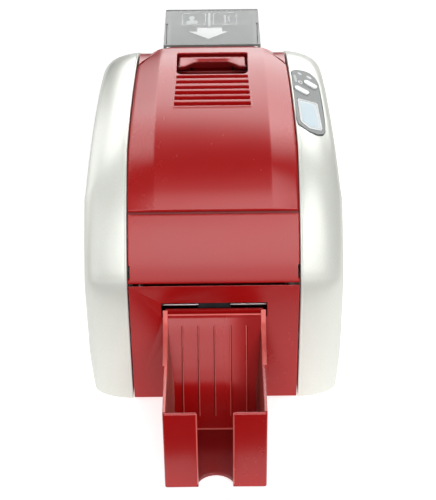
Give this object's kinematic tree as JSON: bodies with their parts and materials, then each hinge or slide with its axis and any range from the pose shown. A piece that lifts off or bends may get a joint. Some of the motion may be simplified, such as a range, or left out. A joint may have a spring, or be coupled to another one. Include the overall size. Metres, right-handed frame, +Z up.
{
  "type": "id card printer",
  "caption": "Desktop plastic-card printer with a hinged top cover, translucent card feeder lid, control panel and clip-on output tray.",
  "frame": {"origin": "on the desk, at the middle of the footprint of the body and its output tray together", "axes": "+Z up, the front with the output tray faces -Y, +X to the right of a person standing in front"},
  "size_m": [0.2032, 0.3781, 0.2262],
  "materials": {
    "red_plastic": "moulded satin, deep red",
    "pearl_plastic": "satin silver-white paint on moulded plastic",
    "dark_plastic": "fine matt grain",
    "plated_steel": "zinc plated",
    "bronze": "sintered bronze",
    "motor_can": "black satin",
    "black_rubber": "matt",
    "circuit_board": "solder mask green",
    "bezel_plastic": "grey gloss film",
    "display_glass": "pale blue display behind a clear window",
    "button_plastic": "white gloss",
    "head_aluminium": "bead blasted",
    "ceramic_white": "glazed ceramic",
    "smoke_plastic": "clear smoked polycarbonate",
    "grey_plastic": "satin",
    "blue_plastic": "satin",
    "blue_rubber": "tacky smooth",
    "gear_white": "natural acetal",
    "ribbon_film": "wound dye film"
  },
  "bodies": {
    "chassis": {"base_tray": "dark_plastic", "left_shell": "pearl_plastic", "right_shell": "pearl_plastic", "front_panel": "red_plastic", "rear_panel": "red_plastic", "rear_deck": "red_plastic", "left_frame": "plated_steel", "right_frame": "plated_steel", "cross_rods": "plated_steel", "card_guide": "dark_plastic", "card_hopper": "dark_plastic", "roller_bushes": "bronze", "cover_hinge_pins": "plated_steel", "drive_motor": "motor_can", "ribbon_motor": "motor_can", "drive_belt": "black_rubber", "main_board": "circuit_board", "power_inlet": "dark_plastic", "usb_port": "plated_steel", "network_port": "dark_plastic", "switch_body": "dark_plastic", "fan_frame": "dark_plastic", "rubber_feet": "black_rubber", "shell_screws": "plated_steel", "control_bezel": "bezel_plastic", "display_window": "display_glass"},
    "cover": {"top_cover": "red_plastic", "front_flap": "red_plastic", "cover_frame": "plated_steel", "head_bracket": "head_aluminium", "heat_sink": "head_aluminium", "print_head": "ceramic_white", "latch_spring": "plated_steel"},
    "latch": {"latch_lever": "red_plastic"},
    "lid": {"feeder_lid": "smoke_plastic"},
    "pusher": {"card_pusher": "grey_plastic"},
    "gate": {"card_gate": "blue_plastic"},
    "tray": {"output_tray": "red_plastic"},
    "exit_roller": {"exit_shaft": "plated_steel", "exit_tyre": "black_rubber"},
    "platen_roller": {"platen_shaft": "plated_steel", "platen_tyre": "black_rubber"},
    "entry_roller": {"entry_shaft": "plated_steel", "entry_tyre": "black_rubber"},
    "pick_roller": {"pick_shaft": "plated_steel", "pick_tyre": "black_rubber"},
    "exit_pinch": {"exit_pinch_rod": "plated_steel"},
    "entry_pinch": {"entry_pinch_roller": "plated_steel"},
    "cleaner": {"cleaning_roller": "blue_rubber"},
    "motor_drive": {"motor_pulley": "plated_steel"},
    "supply": {"supply_spool": "gear_white", "supply_ribbon": "ribbon_film"},
    "takeup": {"takeup_spool": "gear_white", "takeup_ribbon": "ribbon_film"},
    "idler": {"idler_gear": "gear_white"},
    "pinion": {"ribbon_pinion": "bronze"},
    "fan": {"fan_rotor": "dark_plastic"},
    "select_key": {"select_button": "button_plastic"},
    "menu_key": {"menu_button": "button_plastic"},
    "rocker": {"power_rocker": "dark_plastic"}
  },
  "joints": [
    {"name": "cover_hinge", "type": "hinge", "parent": "chassis", "child": "cover", "pos_m": [0, -0.071, 0.117], "axis": [1, 0, 0], "range_deg": [0, 80]},
    {"name": "latch_pivot", "type": "hinge", "parent": "cover", "child": "latch", "pos_m": [0, 0.104, 0.209], "axis": [-1, 0, 0], "range_deg": [0, 14], "stiffness_Nm_per_rad": 0.08, "springref_deg": -14.32},
    {"name": "lid_hinge", "type": "hinge", "parent": "chassis", "child": "lid", "pos_m": [0, 0.1845, 0.2206], "axis": [-1, 0, 0], "range_deg": [0, 105]},
    {"name": "pusher_slide", "type": "slide", "parent": "chassis", "child": "pusher", "axis": [0, 0, 1], "range_m": [0, 0.075]},
    {"name": "gate_slide", "type": "slide", "parent": "chassis", "child": "gate", "axis": [0, 0, 1], "range_m": [0, 0.0015]},
    {"name": "tray_slide", "type": "slide", "parent": "chassis", "child": "tray", "axis": [0, -1, 0], "range_m": [0, 0.04]},
    {"name": "platen_spin", "type": "hinge", "parent": "chassis", "child": "platen_roller", "pos_m": [0, -0.004, 0.0895], "axis": [1, 0, 0], "continuous": true},
    {"name": "exit_spin", "type": "hinge", "parent": "chassis", "child": "exit_roller", "pos_m": [0, -0.071, 0.0895], "axis": [1, 0, 0], "continuous": true},
    {"name": "entry_spin", "type": "hinge", "parent": "chassis", "child": "entry_roller", "pos_m": [0, 0.076, 0.0895], "axis": [1, 0, 0], "continuous": true},
    {"name": "pick_spin", "type": "hinge", "parent": "chassis", "child": "pick_roller", "pos_m": [0, 0.128, 0.0895], "axis": [1, 0, 0], "continuous": true},
    {"name": "motor_spin", "type": "hinge", "parent": "chassis", "child": "motor_drive", "pos_m": [0, 0.026, 0.045], "axis": [1, 0, 0], "continuous": true},
    {"name": "exit_pinch_spin", "type": "hinge", "parent": "chassis", "child": "exit_pinch", "pos_m": [0, -0.071, 0.0989], "axis": [1, 0, 0], "continuous": true},
    {"name": "entry_pinch_spin", "type": "hinge", "parent": "chassis", "child": "entry_pinch", "pos_m": [0, 0.076, 0.1004], "axis": [1, 0, 0], "continuous": true},
    {"name": "cleaner_spin", "type": "hinge", "parent": "chassis", "child": "cleaner", "pos_m": [0, 0.061, 0.1024], "axis": [1, 0, 0], "continuous": true},
    {"name": "supply_spin", "type": "hinge", "parent": "chassis", "child": "supply", "pos_m": [0, 0.041, 0.118], "axis": [1, 0, 0], "continuous": true},
    {"name": "takeup_spin", "type": "hinge", "parent": "chassis", "child": "takeup", "pos_m": [0, -0.039, 0.118], "axis": [1, 0, 0], "continuous": true},
    {"name": "idler_spin", "type": "hinge", "parent": "chassis", "child": "idler", "pos_m": [0, -0.039, 0.092], "axis": [1, 0, 0], "continuous": true},
    {"name": "pinion_spin", "type": "hinge", "parent": "chassis", "child": "pinion", "pos_m": [0, -0.039, 0.066], "axis": [1, 0, 0], "continuous": true},
    {"name": "fan_spin", "type": "hinge", "parent": "chassis", "child": "fan", "pos_m": [0.028, -0.084, 0.06], "axis": [0, 1, 0], "continuous": true},
    {"name": "select_press", "type": "slide", "parent": "chassis", "child": "select_key", "axis": [-0.2249, 0.2096, -0.9516], "range_m": [0, 0.0009], "stiffness_N_per_m": 400, "springref_m": -0.0006},
    {"name": "menu_press", "type": "slide", "parent": "chassis", "child": "menu_key", "axis": [-0.2249, 0.2096, -0.9516], "range_m": [0, 0.0009], "stiffness_N_per_m": 400, "springref_m": -0.0006},
    {"name": "power_switch", "type": "hinge", "parent": "chassis", "child": "rocker", "pos_m": [0.04, 0.1796, 0.0225], "axis": [1, 0, 0], "range_deg": [0, 14]}
  ],
  "couplings": [
    {"joint": "exit_spin", "follows": "platen_spin", "ratio": 1},
    {"joint": "entry_spin", "follows": "platen_spin", "ratio": 1},
    {"joint": "pick_spin", "follows": "platen_spin", "ratio": 1},
    {"joint": "motor_spin", "follows": "platen_spin", "ratio": 1},
    {"joint": "idler_spin", "follows": "takeup_spin", "ratio": -0.44444},
    {"joint": "pinion_spin", "follows": "takeup_spin", "ratio": 1}
  ]
}
